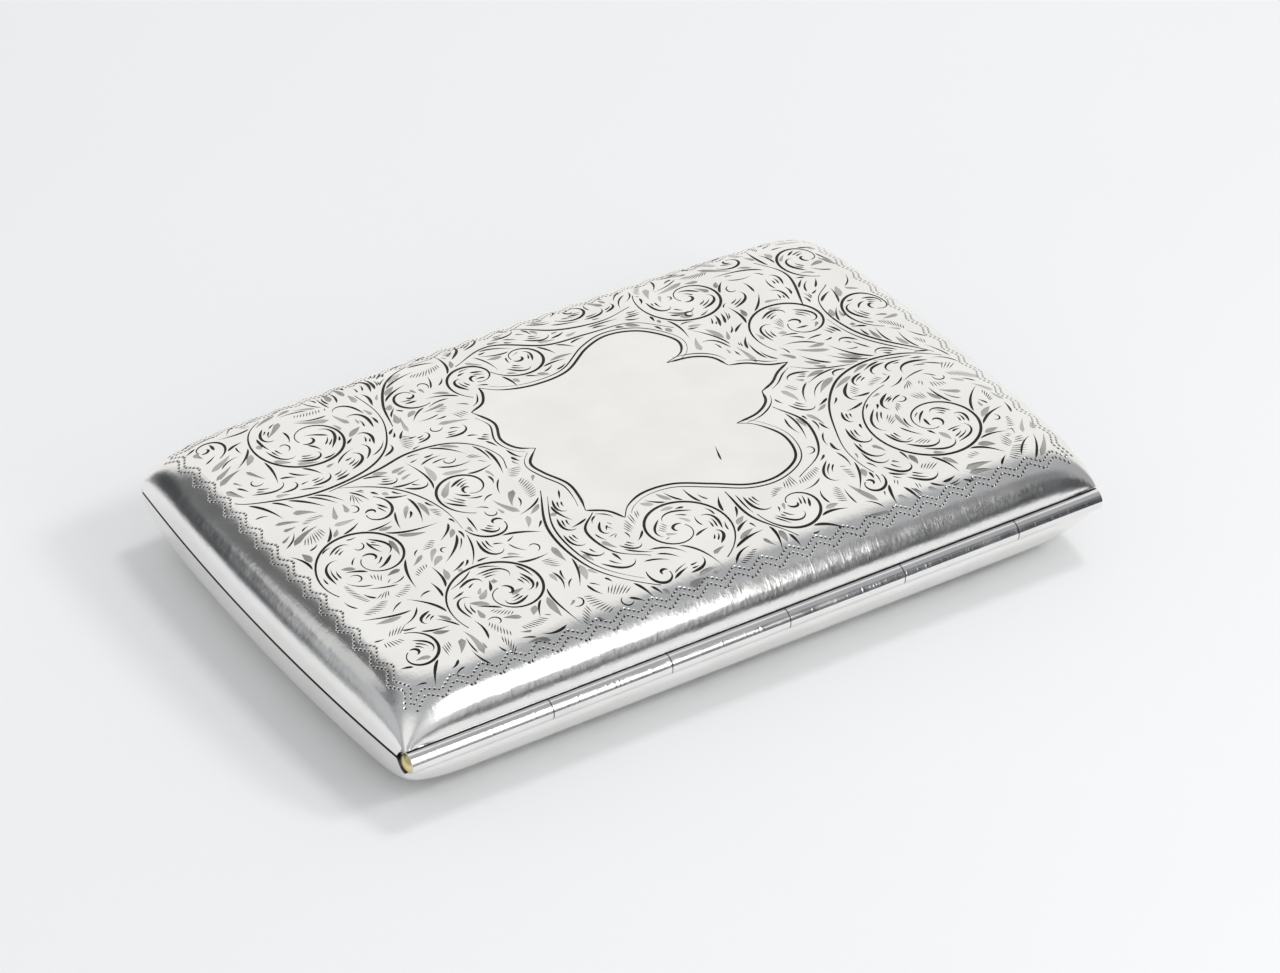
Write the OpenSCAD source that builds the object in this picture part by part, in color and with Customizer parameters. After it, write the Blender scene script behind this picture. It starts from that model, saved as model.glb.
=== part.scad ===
/* [Case] */
// Length of the case along X at its corners
case_l = 100; // [80:1:120]
// Width of the case along Y at its corners, hinge side to opening side
case_w = 65; // [50:1:80]
// Height of each half from the seam to its flat
half_h = 8; // [5:0.5:12]
// Extra rise in the middle of the lid
lid_dome = 1.1; // [0:0.1:3]
// Outward bow of each short side
side_bow = 1.4; // [0:0.1:3]
// Outward bow of the opening side
front_bow = 2; // [0:0.1:4]
// Thickness of the sheet metal
wall = 0.7; // [0.5:0.05:1.5]
// Open line between lid and base
seam_gap = 0.2; // [0.05:0.05:0.5]

/* [Cushion edge] */
// Width of the rolled edge, seen from above
roll_w = 10.9; // [6:0.1:16]
// How full the rolled edge is towards the flat
roll_p = 2.5; // [1.5:0.1:4]
// How upright the rolled edge is at the seam
roll_q = 3.05; // [1.5:0.05:4]
// How soft the corners are: small is soft, large is mitred
corner_m = 0.5; // [0.3:0.1:6]

/* [Hinge] */
// Outer radius of the hinge tube
tube_r = 1.4; // [1:0.1:2]
// Bore radius of the hinge tube
tube_bore_r = 0.75; // [0.5:0.05:1]
// Radius of the hinge pin
pin_r = 0.7; // [0.4:0.05:0.95]
// How far the hinge axis stands outside the hinge side
tube_out = 0.1; // [0:0.05:1]
// Half length of the hinge tube
tube_half_l = 49.7; // [40:0.1:60]
// Gap between neighbouring knuckles
knuckle_gap = 0.12; // [0.04:0.02:0.4]
// Height of the hidden leaf that carries a knuckle
leaf_h = 2.9; // [1.5:0.1:4]

/* [Catch] */
// Width of the push button
button_w = 3; // [2:0.1:4]
// Height of the push button
button_h = 2.7; // [2:0.1:3]
// Depth of the button's middle below the seam
button_drop = 1.55; // [1.2:0.05:2.5]
// Length of the flat catch spring
leaf_spring_l = 32; // [20:1:44]

/* [Card bar] */
// Distance of the card bar pivot from the hinge side
bar_pivot_in = 4.5; // [3:0.1:8]
// Height of the card bar pivot above the table
bar_pivot_z = 6.6; // [5:0.1:7]
// Reach of the card bar from its pivot
bar_reach = 19; // [12:0.5:26]
// Half length of the card bar, end to end
bar_half_l = 47.4; // [40:0.1:48]
// Radius of the card bar pivot pins
pivot_r = 0.5; // [0.3:0.05:0.8]

/* [Hidden] */
seam_z = half_h;
axis_y = -case_w / 2 - tube_out;
clear_r = tube_r + 0.15;
roll_rows = 9;
// places across the flat, as shares of its half length; the close pairs frame the thumb notch
notch_half = 1.7;
flat_half = case_l / 2 - roll_w;
flat_x = [-1, -0.66, -0.33, -(notch_half + 0.05) / flat_half, -(notch_half - 0.05) / flat_half,
    (notch_half - 0.05) / flat_half, (notch_half + 0.05) / flat_half, 0.33, 0.66, 1];
flat_y = [-1, -0.75, -0.5, -0.25, 0, 0.25, 0.5, 0.75, 1];
nx = 2 * roll_rows + len(flat_x) - 1;
ny = 2 * roll_rows + len(flat_y) - 1;
// places along X where one knuckle ends and the next begins
joints = [-tube_half_l, -30.5, -13.9, 3, 19.8, 36.9, tube_half_l];
leaf_in = 0.36;
leaf_t = 0.5;
bezel_gap = 0.15;
bezel_t = 0.5;
bezel_low = 0.8;
bezel_high = 1.1;
bezel_back = 2.4;
button_z = seam_z - button_drop;
notch_deep = button_drop + button_h / 2 + 0.15;
spring_z = seam_z - 2.95;
front_in = case_w / 2 + front_bow - wall;
bolt_t = 0.6;
bolt_y = front_in - 1.9;
keeper_y = front_in - 0.9;
spring_t = 0.3;
bar_y = -case_w / 2 + bar_pivot_in;
bar_t = 0.8;
arm_w = 2.2;
lug_in = bar_half_l + 0.2;
coil_r = 0.72;
wire_r = 0.2;
silver = [0.86, 0.86, 0.85];
gilt = [0.85, 0.7, 0.4];
steel = [0.6, 0.61, 0.63];
brass = [0.8, 0.65, 0.35];

// height of the rolled edge, 0 at the rim and 1 on the flat
function ease(t) = pow(1 - pow(1 - min(1, max(0, t)), roll_p), 1 / roll_q);
// meets the two rolled edges at a corner
function meet(a, b) = pow(pow(max(a, 0.001), -corner_m) + pow(max(b, 0.001), -corner_m) - 1, -1 / corner_m);
// distance in from the side for row k of n
function inset(k, n) = roll_w * pow(min(roll_rows, k, n - k) / roll_rows, 2.4);
// place of row k of n across a side of the given length
function place(k, n, flat, span) = k <= roll_rows ? -span / 2 + inset(k, n)
    : k >= n - roll_rows ? span / 2 - inset(k, n)
    : flat[k - roll_rows] * (span / 2 - roll_w);
// lowest height above the seam that stays clear of the hinge tube
function tube_top(y) = sqrt(max(0, clear_r * clear_r - pow(y - axis_y, 2)));
// depth of the thumb notch at a place on the rim
function notch_at(x, y, notch) = y > 0 && abs(x) < notch_half ? notch : 0;
// one point of a cushion skin that lies t inside the outer one, with the seam at zero
function skin(i, j, t, dome, notch) = let (
    l = case_l - 2 * t,
    w = case_w - 2 * t,
    x0 = place(i, nx, flat_x, l),
    y0 = place(j, ny, flat_y, w),
    fx = 1 - pow(2 * x0 / l, 2),
    fy = 1 - pow(2 * y0 / w, 2),
    x = x0 * (1 + 2 * side_bow / l * fy),
    y = y0 > 0 ? y0 * (1 + 2 * front_bow / w * fx) : y0,
    g = meet(ease(inset(i, nx) / roll_w), ease(inset(j, ny) / roll_w)),
    z = (half_h - t) * g + dome * fx * fy,
    on_rim = i == 0 || j == 0 || i == nx || j == ny,
    low = max(tube_top(y), seam_gap / 2, notch_at(x0, y0, notch)))
    [x, y, on_rim ? low : max(z, low + 0.4)];

function at(i, j) = i * (ny + 1) + j;
// the rim as a loop of point numbers
rim_loop = concat(
    [for (i = [0:nx - 1]) at(i, 0)],
    [for (j = [0:ny - 1]) at(nx, j)],
    [for (i = [nx:-1:1]) at(i, ny)],
    [for (j = [ny:-1:1]) at(0, j)]);

module cushion(dome, notch) {
    outer = [for (i = [0:nx]) for (j = [0:ny]) skin(i, j, 0, dome, notch)];
    inner = [for (i = [0:nx]) for (j = [0:ny]) skin(i, j, wall, dome, notch)];
    s = len(outer);
    m = len(rim_loop);
    polyhedron(
        points = concat(outer, inner),
        faces = concat(
            [for (i = [0:nx - 1]) for (j = [0:ny - 1]) [at(i, j), at(i + 1, j + 1), at(i, j + 1)]],
            [for (i = [0:nx - 1]) for (j = [0:ny - 1]) [at(i, j), at(i + 1, j), at(i + 1, j + 1)]],
            [for (i = [0:nx - 1]) for (j = [0:ny - 1]) [s + at(i, j), s + at(i, j + 1), s + at(i + 1, j + 1)]],
            [for (i = [0:nx - 1]) for (j = [0:ny - 1]) [s + at(i, j), s + at(i + 1, j + 1), s + at(i + 1, j)]],
            [for (k = [0:m - 1]) [rim_loop[k], s + rim_loop[(k + 1) % m], rim_loop[(k + 1) % m]]],
            [for (k = [0:m - 1]) [rim_loop[k], s + rim_loop[k], s + rim_loop[(k + 1) % m]]]));
}

// half width of the plan at a place y, for an outline the given distance inside
function side_x(y, in) = case_l / 2 - in + side_bow * (1 - pow(2 * y / case_w, 2));
// front of the plan at a place x, for an outline the given distance inside
function front_y(x, in) = case_w / 2 - in + front_bow * (1 - pow(2 * x / case_l, 2));
function curve3(a, b, c, t) = (1 - t) * (1 - t) * a + 2 * t * (1 - t) * b + t * t * c;

// three sides of the plan outline, with rounded corners, from back left round to back right
function u_path(in, back, r) = let (
    xc = case_l / 2 - in,
    yc = case_w / 2 - in,
    half = concat(
        [for (k = [0:7]) let (y = back + (yc - r - back) * k / 8) [-side_x(y, in), y]],
        [for (k = [0:6]) curve3([-side_x(yc - r, in), yc - r], [-xc, yc], [-(xc - r), front_y(xc - r, in)], k / 6)],
        [for (k = [1:6]) let (x = -(xc - r) * (1 - k / 7)) [x, front_y(x, in)]]))
    concat(half, [[0, front_y(0, in)]], [for (k = [len(half) - 1:-1:0]) [-half[k][0], half[k][1]]]);

module rod_x(x0, x1, y, z, r) {
    translate([x0, y, z])
    rotate([0, 90, 0])
    cylinder(h = x1 - x0, r = r, $fn = 64);
}

module rod_y(x, y0, y1, z, r) {
    translate([x, y0, z])
    rotate([-90, 0, 0])
    cylinder(h = y1 - y0, r = r, $fn = 64);
}

module block(x0, x1, y0, y1, z0, z1) {
    translate([x0, y0, z0])
    cube([x1 - x0, y1 - y0, z1 - z0]);
}

module base_shell() {
    color(silver)
    translate([0, 0, seam_z])
    mirror([0, 0, 1])
    cushion(0, notch_deep);
}

module lid_shell() {
    color(silver)
    translate([0, 0, seam_z])
    cushion(lid_dome, 0);
}

module base_bezel() {
    back = -case_w / 2 + bezel_back;
    a = u_path(wall + bezel_gap, back, 2.6);
    b = u_path(wall + bezel_gap + bezel_t, back, 2.2);
    n = len(b);
    color(silver)
    difference() {
        translate([0, 0, seam_z - bezel_low])
        linear_extrude(height = bezel_low + bezel_high)
        polygon(concat(a, [for (k = [n - 1:-1:0]) b[k]]));
        block(-notch_half, notch_half, front_in - 2, front_in + 1, seam_z - 3, seam_z - 0.1);
    }
}

// tube between two places and, beside it, the leaf soldered inside the wall; up is 1 for the lid, -1 for the base
module knuckle(k, up) {
    x0 = joints[k] + (k == 0 ? 0 : knuckle_gap / 2);
    x1 = joints[k + 1] - (k == 5 ? 0 : knuckle_gap / 2);
    lx0 = x0 + (k == 0 ? 3 : 0.2);
    lx1 = x1 - (k == 5 ? 3 : 0.2);
    leaf_y = -case_w / 2 + wall + leaf_in;
    difference() {
        union() {
            rod_x(x0, x1, axis_y, seam_z, tube_r);
            block(lx0, lx1, leaf_y, leaf_y + leaf_t,
                up > 0 ? seam_z + 0.25 : seam_z - leaf_h,
                up > 0 ? seam_z + leaf_h : seam_z - 0.25);
        }
        rod_x(x0 - 1, x1 + 1, axis_y, seam_z, tube_bore_r);
    }
}

module base_knuckle_near() {
    color(silver)
    knuckle(0, -1);
}

module lid_knuckle_near() {
    color(silver)
    knuckle(1, 1);
}

module base_knuckle_mid() {
    color(silver)
    knuckle(2, -1);
}

module lid_knuckle_mid() {
    color(silver)
    knuckle(3, 1);
}

module base_knuckle_far() {
    color(silver)
    knuckle(4, -1);
}

module lid_knuckle_far() {
    color(silver)
    knuckle(5, 1);
}

module hinge_pin() {
    color(steel)
    rod_x(-tube_half_l + 1.6, tube_half_l - 1.6, axis_y, seam_z, pin_r);
}

// plug with a low domed head, pointing along +X
module plug() {
    cap_r = 1.25;
    cap_h = 0.5;
    ball_r = (cap_r * cap_r + cap_h * cap_h) / (2 * cap_h);
    rotate([0, 90, 0])
    union() {
        translate([0, 0, -1.5])
        cylinder(h = 1.55, r = tube_bore_r, $fn = 48);
        intersection() {
            translate([0, 0, cap_h - ball_r])
            sphere(r = ball_r, $fn = 96);
            cylinder(h = 2, r = cap_r, $fn = 48);
        }
    }
}

module hinge_plug_near() {
    color(brass)
    translate([-tube_half_l, axis_y, seam_z])
    mirror([1, 0, 0])
    plug();
}

module hinge_plug_far() {
    color(brass)
    translate([tube_half_l, axis_y, seam_z])
    plug();
}

module catch_button() {
    color(silver)
    intersection() {
        rod_y(0, bolt_y + bolt_t, front_in + wall + 0.95, button_z, 1.75);
        block(-button_w / 2, button_w / 2, bolt_y, front_in + 4, button_z - button_h / 2, button_z + button_h / 2);
    }
}

// plate on the button's inner end, with its two stops behind the bezel and its nose above the keeper
module catch_bolt() {
    color(steel)
    union() {
        block(-4.5, 4.5, bolt_y, bolt_y + bolt_t, spring_z - 0.9, seam_z + 2.7);
        block(-3, 3, bolt_y + bolt_t - 0.1, keeper_y - 0.08, seam_z + 2.15, seam_z + 2.7);
        for (s = [-1, 1])
            block(s * 3.3 - 0.9, s * 3.3 + 0.9, bolt_y + bolt_t - 0.1, front_in - bezel_gap - bezel_t - 0.05,
                seam_z - 0.7, seam_z - 0.1);
    }
}

module lid_keeper() {
    color(silver)
    union() {
        block(-3.2, 3.2, keeper_y, front_in - 0.12, seam_z + 1.45, seam_z + 2.05);
        block(-3.2, 3.2, front_in - 0.6, front_in - 0.34, seam_z + 1.45, seam_z + 2.8);
    }
}

// line of the bowed flat spring behind the bolt
function leaf_line(x) = bolt_y - 0.3 + 0.0028 * x * x;

module catch_spring() {
    h = leaf_spring_l / 2;
    z0 = spring_z;
    color(steel)
    difference() {
        translate([0, 0, z0])
        linear_extrude(height = 1.8)
        polygon(concat(
            [for (k = [-12:12]) let (x = h * k / 12) [x, leaf_line(x) - spring_t / 2]],
            [for (k = [12:-1:-12]) let (x = h * k / 12) [x, leaf_line(x) + spring_t / 2]]));
        for (s = [-1, 1])
            rod_y(s * 14, bolt_y - 2, bolt_y + 2, z0 + 0.9, 0.5);
    }
}

module catch_posts() {
    z0 = spring_z;
    y0 = leaf_line(16) + spring_t / 2 + 0.03;
    color(silver)
    for (s = [-1, 1])
        difference() {
            block(s * 14 - 2, s * 14 + 2, y0, front_in - 0.55, z0, z0 + 1.8);
            rod_y(s * 14, y0 - 1, y0 + 3, z0 + 0.9, 0.45);
        }
}

module catch_rivets() {
    z0 = spring_z;
    y0 = leaf_line(14) - spring_t / 2 - 0.08;
    color(steel)
    for (s = [-1, 1])
        union() {
            rod_y(s * 14, y0 - 0.35, y0, z0 + 0.9, 0.8);
            rod_y(s * 14, y0 - 0.1, y0 + 1.4, z0 + 0.9, 0.45);
        }
}

module card_bar() {
    z0 = bar_pivot_z - bar_t / 2;
    front = bar_y + bar_reach;
    color(gilt)
    difference() {
        union() {
            for (s = [-1, 1]) {
                block(min(s * bar_half_l, s * (bar_half_l - arm_w)), max(s * bar_half_l, s * (bar_half_l - arm_w)),
                    bar_y, front - 0.5, z0, z0 + bar_t);
                rod_x(min(s * bar_half_l, s * (bar_half_l - arm_w)), max(s * bar_half_l, s * (bar_half_l - arm_w)),
                    bar_y, bar_pivot_z, 1.15);
            }
            block(-bar_half_l, bar_half_l, front - 5, front, z0, z0 + bar_t);
            intersection() {
                translate([0, front - 1, z0])
                cylinder(h = bar_t, r = 6, $fn = 64);
                block(-6, 6, front - 1, front + 5, z0, z0 + bar_t);
            }
        }
        rod_x(-60, 60, bar_y, bar_pivot_z, pivot_r);
    }
}

module bar_pivots() {
    color(steel)
    for (s = [-1, 1])
        rod_x(min(s * (bar_half_l - 4.6), s * (bar_half_l + 1.5)), max(s * (bar_half_l - 4.6), s * (bar_half_l + 1.5)),
            bar_y, bar_pivot_z, pivot_r);
}

module bar_lugs() {
    x1 = side_x(bar_y, wall + bezel_gap + bezel_t) - 0.16;
    color(silver)
    for (s = [-1, 1])
        difference() {
            union() {
                rod_x(min(s * lug_in, s * (lug_in + 0.9)), max(s * lug_in, s * (lug_in + 0.9)), bar_y, bar_pivot_z, 1.6);
                block(min(s * lug_in, s * (lug_in + 0.9)), max(s * lug_in, s * (lug_in + 0.9)),
                    bar_y - 1.6, bar_y + 1.6, bar_pivot_z, seam_z + 0.5);
                block(min(s * lug_in, s * x1), max(s * lug_in, s * x1),
                    bar_y - 1.6, bar_y + 1.6, seam_z - bezel_low + 0.1, seam_z + 0.5);
            }
            rod_x(-60, 60, bar_y, bar_pivot_z, pivot_r + 0.05);
        }
}

// path of the spring wire: leg over the bar, coil round the pivot, leg down to the floor; each is x, y, z, heading
coil_steps = 36;
coil_x = bar_half_l - arm_w - 0.6;
wire_path = concat(
    [[coil_x, bar_y + bar_reach - 2.5, bar_pivot_z + coil_r, 180]],
    [for (k = [0:coil_steps]) let (a = 90 + 810 * k / coil_steps)
        [coil_x - 1.1 * k / coil_steps, bar_y + coil_r * cos(a), bar_pivot_z + coil_r * sin(a), a + 90]],
    [[coil_x - 1.1, bar_y - coil_r, bar_pivot_z - 3.6, 270]]);

module spring_wire() {
    n = len(wire_path);
    s = 8;
    polyhedron(
        points = [for (p = wire_path) for (q = [0:s - 1]) let (b = 360 * q / s)
            [p[0] + wire_r * sin(b), p[1] - wire_r * cos(b) * sin(p[3]), p[2] + wire_r * cos(b) * cos(p[3])]],
        faces = concat(
            [[for (q = [0:s - 1]) q]],
            [for (k = [0:n - 2]) for (q = [0:s - 1]) [k * s + q, (k + 1) * s + q, (k + 1) * s + (q + 1) % s]],
            [for (k = [0:n - 2]) for (q = [0:s - 1]) [k * s + q, (k + 1) * s + (q + 1) % s, k * s + (q + 1) % s]],
            [[for (q = [s - 1:-1:0]) (n - 1) * s + q]]));
}

module bar_springs() {
    color(steel)
    union() {
        spring_wire();
        mirror([1, 0, 0])
        spring_wire();
    }
}

base_shell();
lid_shell();
base_bezel();
base_knuckle_near();
base_knuckle_mid();
base_knuckle_far();
lid_knuckle_near();
lid_knuckle_mid();
lid_knuckle_far();
hinge_pin();
hinge_plug_near();
hinge_plug_far();
catch_button();
catch_bolt();
catch_spring();
catch_posts();
catch_rivets();
lid_keeper();
card_bar();
bar_pivots();
bar_lugs();
bar_springs();
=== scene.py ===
"""Business card case: engraved lid and base, knuckle hinge, push catch and card bar, in metres."""
import math
import random

import bmesh
import bpy
import numpy as np
from mathutils import Matrix, Vector
from mathutils.geometry import delaunay_2d_cdt


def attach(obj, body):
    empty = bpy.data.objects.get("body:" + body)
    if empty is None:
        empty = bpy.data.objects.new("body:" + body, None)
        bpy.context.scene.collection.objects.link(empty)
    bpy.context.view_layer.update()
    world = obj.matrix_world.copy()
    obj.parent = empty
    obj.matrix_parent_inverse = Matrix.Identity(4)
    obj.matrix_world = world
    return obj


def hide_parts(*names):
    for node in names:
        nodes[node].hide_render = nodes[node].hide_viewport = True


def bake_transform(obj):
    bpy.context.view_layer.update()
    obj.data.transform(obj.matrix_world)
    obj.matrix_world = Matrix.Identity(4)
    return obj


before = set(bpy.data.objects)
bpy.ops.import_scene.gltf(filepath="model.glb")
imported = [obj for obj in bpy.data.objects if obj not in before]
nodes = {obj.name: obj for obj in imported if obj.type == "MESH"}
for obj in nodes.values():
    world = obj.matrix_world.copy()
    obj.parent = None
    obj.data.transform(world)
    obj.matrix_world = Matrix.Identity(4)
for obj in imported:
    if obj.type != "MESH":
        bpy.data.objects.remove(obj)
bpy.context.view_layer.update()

MM = 0.001

# ---- the case, in millimetres, as in the CAD ----
CASE_L, CASE_W, HALF_H, DOME = 100.0, 65.0, 8.0, 1.1
SIDE_BOW, FRONT_BOW, WALL, SEAM_GAP, SEAM_Z = 1.4, 2.0, 0.7, 0.2, 8.0
ROLL_W, ROLL_P, ROLL_Q, CORNER_M = 10.9, 2.5, 3.05, 0.5  # the turned edge: width and curve
AXIS_Y, CLEAR_R = -32.6, 1.55  # the hinge's axis and the room cut round it
NOTCH_HALF, NOTCH_DEEP = 1.7, 3.05  # the button's notch in the base

# ---- engraving, in millimetres on the lid seen from above ----
# each kind of surface is also the place of its metal in a shell's list of materials
PLAIN, LINE, HATCH, CUT, INSIDE, TURNED, BEAD = range(7)
# how deep each kind is cut; a point on two kinds takes the later depth of the list
DEPTH = ((BEAD, 0.1), (CUT, 0.035), (HATCH, 0.04), (LINE, 0.075))

# the plain field in the middle: x, y, and 1 where two arcs meet in a point
FIELD = (
    (-9.2, 18.5, 1), (-7, 16.5, 0), (-3, 15.2, 0), (2, 15.6, 0), (7, 18.9, 0), (11, 20.1, 0),
    (15, 18.6, 0), (17.6, 14.5, 0), (16.6, 11.6, 0), (13.7, 10.4, 1), (17, 9.9, 0),
    (19.2, 8.4, 0), (20, 5.8, 1), (22.2, 5.0, 0), (24.5, 3.2, 0), (26.8, 2.5, 1),
    (24.4, 1.2, 0), (22.5, -0.4, 0), (20.3, -1.4, 1), (19.4, -3.6, 0), (17, -5.2, 0),
    (13.7, -5.7, 1), (15.6, -7.2, 0), (17.2, -11, 0), (16, -15.4, 0), (12, -17.6, 0),
    (8, -17.3, 0), (4, -14.8, 0), (0, -12.4, 0), (-4, -12, 0), (-7, -13.2, 0),
    (-8.7, -15.1, 1), (-9.8, -12.9, 0), (-12, -11.4, 1), (-11.2, -8.8, 0), (-10.9, -5.5, 0),
    (-12.2, -2, 0), (-12.5, 0.6, 0), (-10.3, 3, 1), (-12.2, 4.4, 0), (-12.9, 7, 0),
    (-11.7, 10.5, 0), (-12.8, 14.2, 1), (-10.6, 15.2, 0), (-9.4, 17.2, 0),
)

# stems of the foliage, in the order in which they are cut
STEMS = (
    ((-47.5, 20), (-46, 14), (-41, 10.8), (-36, 9.8), (-30, 10.6), (-26, 13), (-23.5, 17),
     (-22.5, 21), (-22.8, 26)),
    ((-40, 10.6), (-34, 8), (-30, 5), (-27.8, 1), (-27, -4), (-28, -10), (-31, -14), (-36, -16),
     (-42, -18)),
    ((-36, 9.2), (-29, 9.8), (-24, 10.8), (-19, 10), (-16, 7.5), (-14.8, 4), (-15.5, 1.2)),
    ((-22.5, 17), (-21, 22), (-18, 26.5), (-14, 28.7), (-10, 28.5)),
    ((-14.5, -5), (-17.8, -12), (-18, -19), (-16, -24), (-11, -28), (-5, -29.2)),
    ((45, -5.6), (40, -3), (35, -2.4), (30, -4), (26, -8), (23.5, -13), (22, -18), (22.5, -23),
     (25, -27), (30, -29.5)),
    ((44.5, -4.5), (40.5, 0), (38.3, 4), (37.6, 9), (38.6, 13), (41.5, 15.5)),
    ((44, -4), (36, -1.9), (30, -0.2), (27, 2), (24.5, 5), (23.9, 9), (25, 12.5), (28, 15.3),
     (31, 15.8)),
    ((36, 12.5), (38.5, 20), (36.5, 25)),
    ((-9, 24.5), (-3, 26.5), (3, 22.5), (9, 21.8), (15, 21), (19, 17)),
    ((2, 29), (6, 25), (12, 23.5), (17, 24.5)),
    ((-11.5, -12.2), (-14.2, -15), (-13.5, -20), (-10, -23)),
    ((4.5, -17), (4.6, -23), (8, -28)),
    ((19.5, -5), (21.2, -10), (19, -16), (14, -19.2)),
)

# scrolls: centre x, y, radius outside, radius inside, start angle, sweep
SCROLLS = (
    (-32.5, 20.5, 8.2, 1.3, 110, 432),
    (-8.2, 20.8, 4.6, 1.0, 235, -344),
    (-1.3, 21.8, 4.8, 1.0, 190, 344),
    (24.5, 22.3, 7.2, 1.2, 140, 416),
    (33.0, 9.6, 7.2, 1.2, 215, -416),
    (44.2, 8.6, 5.6, 1.0, 250, -344),
    (43.0, 22.8, 5.2, 1.0, 260, -320),
    (35.2, -17.8, 9.8, 1.3, 95, 528),
    (10.6, -23.2, 5.2, 1.0, 175, 336),
    (-4.4, -20.4, 7.4, 1.2, -70, 448),
    (-28.3, -20.0, 8.2, 1.3, 205, -448),
    (-38.5, -5.6, 7.8, 1.3, 210, -416),
    (-21.6, 0.2, 5.2, 1.0, 250, -360),
    (-33.8, 2.4, 3.3, 0.9, 60, -240),
    (-22.4, -7.6, 4.0, 1.0, 170, 168),
    (-17.5, 21.8, 3.2, 0.8, 300, -264),
    (10.2, 28.2, 3.0, 0.8, 200, 264),
    (-43.3, -24.0, 3.9, 0.9, 80, -304),
    (-44.0, 26.3, 3.0, 0.8, 280, 264),
    (-10.2, -26.3, 2.2, 0.7, 150, 208),
    (21.0, -24.5, 2.2, 0.7, 20, -240),
    (34.0, 27.4, 2.4, 0.7, 200, 240),
)

# small cuts that fill what is left: how many tries, and the shortest and the longest
FILLS = ((3000, (2.8, 4.8)), (4200, (1.7, 3.2)), (3000, (1.1, 2.0)))


def smooth(points, step=0.5):
    """A Catmull-Rom curve through the points, in millimetres."""
    p = np.array(points, float)
    q = np.vstack([2 * p[0] - p[1], p, 2 * p[-1] - p[-2]])
    out = []
    for a, b, c, d in zip(q, q[1:], q[2:], q[3:]):
        n = max(2, int(np.linalg.norm(c - b) / step))
        for t in np.arange(n)[:, None] / n:
            bend = (2 * a - 5 * b + 4 * c - d) * t**2 + (3 * b - a - 3 * c + d) * t**3
            out.append(0.5 * (2 * b + (c - a) * t + bend))
    return np.array([*out, p[-1]])


def normals(p):
    """The direction to the left of a line at each of its points."""
    t = np.gradient(p, axis=0)
    t /= np.maximum(np.linalg.norm(t, axis=1, keepdims=True), 1e-9)
    return np.stack([-t[:, 1], t[:, 0]], 1)


def arc_length(p):
    """How far along a line each of its points lies."""
    return np.concatenate([[0], np.cumsum(np.linalg.norm(np.diff(p, axis=0), axis=1))])


def along(p, step):
    """Places at even steps along a line."""
    run = arc_length(p)
    at = np.arange(0, run[-1], step)
    return np.stack([np.interp(at, run, p[:, 0]), np.interp(at, run, p[:, 1])], 1)


def place_at(p, run, at):
    """The number of the point at a length along a line, and the way on from it."""
    i = int(np.searchsorted(run, at))
    return i, p[min(i + 1, len(p) - 1)] - p[i - 1]


def taper(n, wide, lean=0.5, end=0.0):
    """Half widths of a stroke that swells from a point and thins to another."""
    t = np.linspace(0, 1, n)
    return wide * np.maximum(end, np.sin(np.pi * t ** (math.log(0.5) / math.log(lean))))


def volute(cx, cy, r_out, r_in, start, sweep):
    """A spiral from its outer end to its inner end, a point every seven degrees."""
    n = max(12, int(abs(sweep) / 7))
    t = np.linspace(0, 1, n)
    a = np.radians(start + sweep * t)
    r = r_in + (r_out - r_in) * (1 - t) ** 1.15
    return np.stack([cx + r * np.cos(a), cy + r * np.sin(a)], 1)


def hook(start, heading, long, curl):
    """A stroke that runs straight at first and curls over at its end."""
    n = max(9, int(long / 0.4))
    t = np.linspace(0, 1, n)
    a = heading + curl * t**2.4
    step = long / (n - 1)
    p = np.stack([np.cos(a), np.sin(a)], 1)[:-1] * step
    return np.vstack([start, start + np.cumsum(p, axis=0)])


def inside(p, ring):
    """Which points lie inside a closed ring."""
    hit = np.zeros(len(p), bool)
    for (x0, y0), (x1, y1) in zip(ring, np.roll(ring, -1, axis=0)):
        cross = (y0 > p[:, 1]) != (y1 > p[:, 1])
        hit ^= cross & (p[:, 0] < (x1 - x0) * (p[:, 1] - y0) / (y1 - y0 + 1e-12) + x0)
    return hit


def room(x, y):
    """How far a place lies inside the border of zigzags."""
    return np.minimum(np.minimum(x + 46.2, 46.4 - x), np.minimum(y + 29.3, 30.3 - y))


def field_arcs():
    """The outline of the plain field, as one arc for each stretch between two sharp points."""
    marks = [i for i, p in enumerate(FIELD) if p[2]]
    return [
        smooth([FIELD[i % len(FIELD)][:2] for i in range(a, b + 1)])[:-1]
        for a, b in zip(marks, marks[1:] + [marks[0] + len(FIELD)])
    ]


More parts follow.
